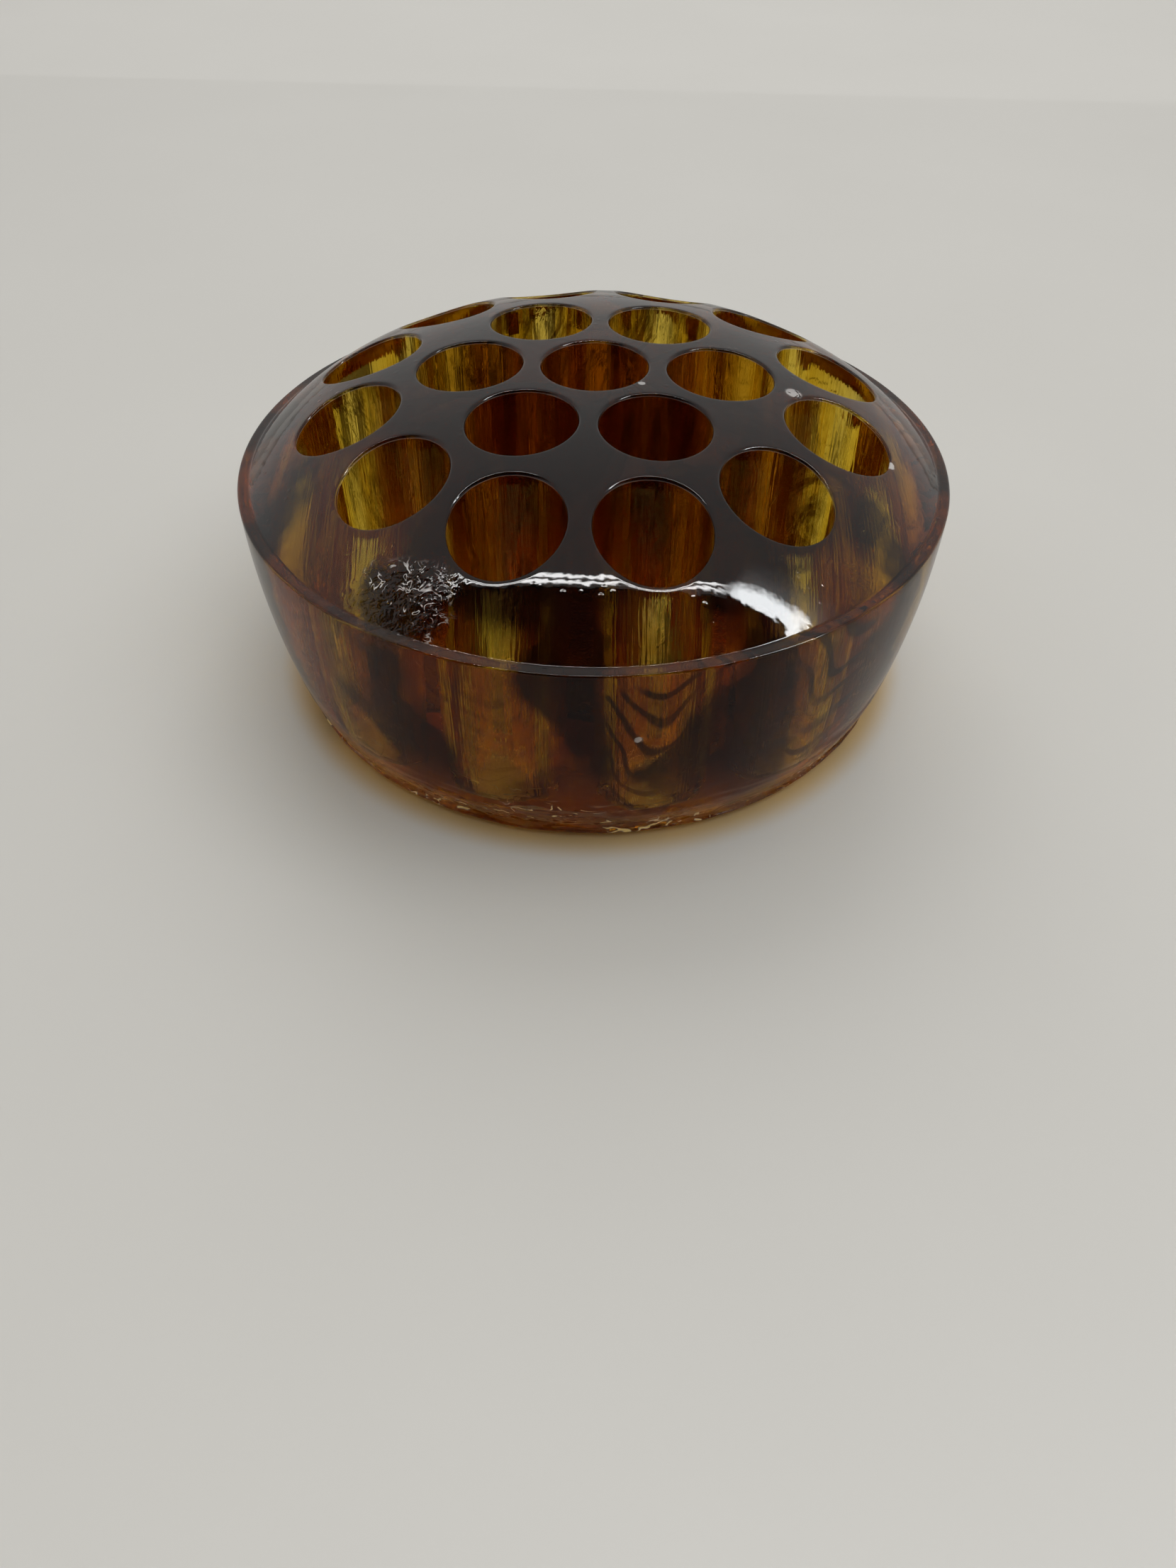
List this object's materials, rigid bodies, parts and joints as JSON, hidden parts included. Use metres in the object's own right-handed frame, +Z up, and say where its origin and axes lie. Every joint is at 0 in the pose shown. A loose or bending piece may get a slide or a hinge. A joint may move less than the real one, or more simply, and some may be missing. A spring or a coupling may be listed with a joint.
{
  "type": "flower frog",
  "caption": "Round domed glass block with a honeycomb of blind vertical sockets that hold flower stems upright in a bowl.",
  "frame": {"origin": "centre of the plane that the block stands on", "axes": "+Z up through the middle socket; -Y midway between two sockets of the outer ring"},
  "size_m": [0.1002, 0.1002, 0.0455],
  "materials": {
    "amber_glass": "fire-polished pressed glass, amber with dark purple-brown clouding"
  },
  "bodies": {
    "root": {"glass_block": "amber_glass"}
  },
  "joints": []
}
